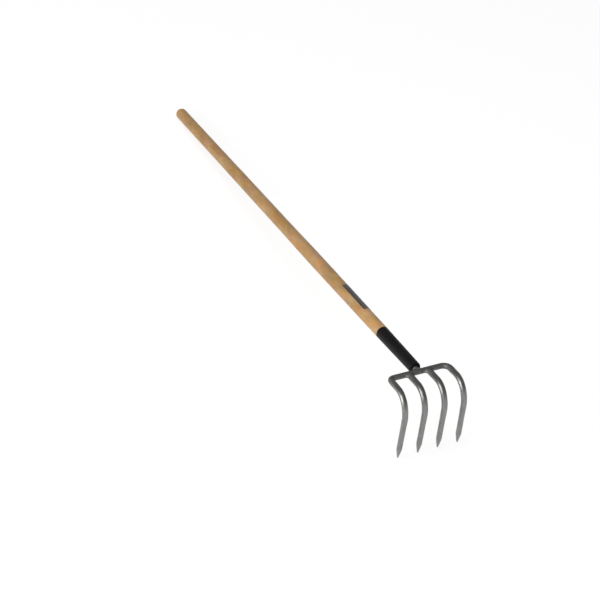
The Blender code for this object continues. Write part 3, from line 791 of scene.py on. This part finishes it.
def bare_film():
    """Dark bare film with a darker border, scuffed along its edges."""
    material, tree, shader = new_material("bare_film")
    place = tool_place(tree)
    border = put(tree, "Attribute", attribute_name="border").outputs["Fac"]
    cloud = use(tree, PATCHES, place, Across=90.0, Along=50.0, Contrast=2.4)
    color = stain(tree, mix(tree, cloud, DARK_FILM, LIGHT_FILM), border, 0.75, FILM_BORDER)
    rim = calc(tree, "POWER", border, 2.5)
    wear = use(tree, RUBBED, place, Edge=rim, Amount=0.30, Specks=1100.0)
    color = stain(tree, color, wear, 0.5, SCUFFED_FILM)
    tree.links.new(color, shader.inputs["Base Color"])
    tree.links.new(between(tree, cloud, 0.36, 0.50), shader.inputs["Roughness"])
    height = use(tree, RELIEF, place, Broad=260.0, Fine=2400.0, Fine_share=0.15)
    roughen(tree, shader, height, strength=0.18, distance=0.00008)
    return material


def studio_floor():
    """Pale floor. Seen directly or mirrored it glows to white apart from the object's soft shadow,
    and far off it glows to white by itself; from below it lets the view through."""
    material, tree, shader = new_material("studio_floor")
    tree.nodes.remove(shader)
    rays = put(tree, "LightPath").outputs
    seen = calc(tree, "MAXIMUM", rays["Is Camera Ray"], rays["Is Glossy Ray"])
    seen = calc(tree, "MAXIMUM", seen, rays["Is Transmission Ray"])
    pale = put(tree, "BsdfDiffuse", {"Color": FLOOR_COLOR}).outputs[0]
    shaded = put(tree, "BsdfDiffuse", {"Color": FLOOR_SHADED}).outputs[0]
    place = put(tree, "TexCoord").outputs["Object"]
    distance = put(tree, "VectorMath", {0: place}, operation="LENGTH").outputs["Value"]
    strength = spread_over(tree, distance, GLOW_FROM, GLOW_TO, NEAR_GLOW, FAR_GLOW)
    glow = put(tree, "Emission", {"Color": WHITE, "Strength": strength}).outputs[0]
    white = put(tree, "AddShader", {0: shaded, 1: glow}).outputs[0]
    above = put(tree, "MixShader", {0: seen, 1: pale, 2: white}).outputs[0]
    clear = put(tree, "BsdfTransparent").outputs[0]
    below = put(tree, "NewGeometry").outputs["Backfacing"]
    both = put(tree, "MixShader", {0: below, 1: above, 2: clear}).outputs[0]
    tree.links.new(both, tree.nodes["Material Output"].inputs["Surface"])
    return material


# Studio

def make_floor(material):
    """A wide level floor under the tips and the butt, one face, looking up."""
    corners = np.array([(-1, -1, 0), (1, -1, 0), (1, 1, 0), (-1, 1, 0)]) * FLOOR_REACH
    mesh = bpy.data.meshes.new("studio_floor")
    mesh.from_pydata(corners.tolist(), [], [(0, 1, 2, 3)])
    mesh.materials.append(material)
    floor = bpy.data.objects.new("studio_floor", mesh)
    bpy.context.scene.collection.objects.link(floor)


def soft_box(name, azimuth, elevation, distance, size, watts, roll=0.0, lights=True, mirrored=True):
    """A soft area lamp around the tool, turned towards its middle and rolled about that line, in
    degrees. It lights the object, shows in its gloss, or both."""
    turn, rise = math.radians(azimuth), math.radians(elevation)
    level = math.cos(rise)
    toward = Vector((math.sin(turn) * level, -math.cos(turn) * level, math.sin(rise)))
    light = bpy.data.lights.new(name, "AREA")
    light.shape = "RECTANGLE"
    light.size, light.size_y = size
    light.energy = watts
    lamp = bpy.data.objects.new(name, light)
    lamp.location = toward * distance
    facing = toward.to_track_quat("Z", "Y") @ Quaternion((0.0, 0.0, 1.0), math.radians(roll))
    lamp.rotation_euler = facing.to_euler()
    lamp.visible_camera = False
    lamp.visible_diffuse = lights
    lamp.visible_glossy = mirrored
    bpy.context.scene.collection.objects.link(lamp)


def light_studio():
    """A large box low on the left that only lights, a rolled one beside it that only shows in the
    gloss, a weak one in front and a wide fill overhead, in a dim grey room. Seen directly the room
    is white; gloss sees it white up to just over the floor."""
    soft_box("left_box", azimuth=-76.0, elevation=24.0, distance=3.6, size=(3.0, 2.4),
             watts=60.0, mirrored=False)
    soft_box("left_gleam", azimuth=-71.0, elevation=23.0, distance=3.5, size=(3.2, 1.9),
             watts=118.0, roll=40.0, lights=False)
    soft_box("front_box", azimuth=-8.0, elevation=19.0, distance=5.5, size=(4.0, 2.0),
             watts=9.0)
    soft_box("overhead_fill", azimuth=-40.0, elevation=74.0, distance=4.5, size=(5.0, 5.0),
             watts=93.0, mirrored=False)
    world = bpy.data.worlds.new("studio_room")
    world.use_nodes = True
    tree = world.node_tree
    room = tree.nodes["Background"].inputs
    rays = put(tree, "LightPath").outputs
    mirrored = calc(tree, "MAXIMUM", rays["Is Glossy Ray"], rays["Is Transmission Ray"])
    view = put(tree, "TexCoord").outputs["Generated"]
    height = put(tree, "SeparateXYZ", {0: view}).outputs["Z"]
    low = calc(tree, "MULTIPLY", spread_over(tree, height, 0.0, LOW_WALL, 1.0, 0.0), mirrored)
    seen = calc(tree, "MAXIMUM", rays["Is Camera Ray"], low)
    feed(tree, room["Color"], WHITE)
    feed(tree, room["Strength"], between(tree, seen, ROOM_LEVEL, 1.0))
    bpy.context.scene.world = world


def place_camera():
    """The camera looks from its place to the middle of the picture, rolled a little."""
    back = (CAMERA_PLACE - CAMERA_AIM).normalized()
    level = Vector((0.0, 0.0, 1.0)).cross(back).normalized()
    steep = back.cross(level)
    right = math.cos(CAMERA_ROLL) * level + math.sin(CAMERA_ROLL) * steep
    turned = Matrix((right, back.cross(right), back)).transposed()
    lens = bpy.data.cameras.new("camera")
    lens.sensor_width = SENSOR_WIDTH
    lens.lens = FOCAL_LENGTH
    lens.clip_end = 200.0
    camera = bpy.data.objects.new("camera", lens)
    camera.matrix_world = Matrix.Translation(CAMERA_PLACE) @ turned.to_4x4()
    bpy.context.scene.collection.objects.link(camera)
    bpy.context.scene.camera = camera


# The tool

def finish_piece(piece, material, slot, *nodes):
    """Gives a piece its material, lets it ride on the tool and stand for its nodes. The slot is
    not used."""
    piece.data.materials.append(material)
    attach(piece, "root")
    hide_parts(*nodes)


def refinish(node, material):
    """Gives a node of the solid model a better material, shaded smooth as it is."""
    for slot in frame["nodes"][node].material_slots:
        slot.material = material


rod_steel = forged_steel("lacquered_rod", laid_place, dark=(0.205, 0.205, 0.198),
                         light=(0.284, 0.284, 0.274), roughness=0.34, relief=0.12)
weld_steel = forged_steel("lacquered_weld", laid_place, dark=(0.200, 0.200, 0.192),
                          light=(0.280, 0.279, 0.268), roughness=0.47, relief=0.26)
# The tang and its weld get a lighter steel than the rod: painted light, standing in for the light
# that the ferrule's mouth shades off them.
tang_steel_painted_light = forged_steel("lacquered_tang_painted_light", tool_place, dark=(0.270, 0.270, 0.260),
                          light=(0.370, 0.369, 0.355), roughness=0.46, relief=0.26)

finish_piece(make_pole(), varnished_ash(), "handle_wood", "handle")
finish_piece(make_ferrule(), black_enamel(), "ferrule_paint", "ferrule")
finish_piece(make_bow(), rod_steel, "forged_steel", "bow")
for side, across, phase in (("left", -INNER_TINE, LEFT_PHASE), ("right", INNER_TINE, RIGHT_PHASE)):
    tine = make_inner_tine("tine_" + side, across, phase)
    finish_piece(tine, rod_steel, "forged_steel", "inner_tine_" + side)
for side, across in (("left", -INNER_TINE), ("right", INNER_TINE)):
    fillet = make_fillet("fillet_" + side, across, -1, TINE_FILLET, tine_radius)
    finish_piece(fillet, weld_steel, "weld_bead", "weld_tine_" + side)
# The tang's weld takes the lighter steel: painted light in the shade of the ferrule's mouth.
tang_fillet = make_fillet("fillet_tang", 0.0, 1, TANG_FILLET, tang_radius)
finish_piece(tang_fillet, tang_steel_painted_light, "weld_bead", "weld_tang")
finish_piece(make_label(), bare_film(), "label_film", "label")
# The tang takes the same lighter steel: painted light in the shade of the ferrule's mouth.
refinish("tang", tang_steel_painted_light)
refinish("ferrule_pin", drawn_nail())

make_floor(studio_floor())
light_studio()
place_camera()
bpy.context.scene.view_settings.view_transform = "Standard"
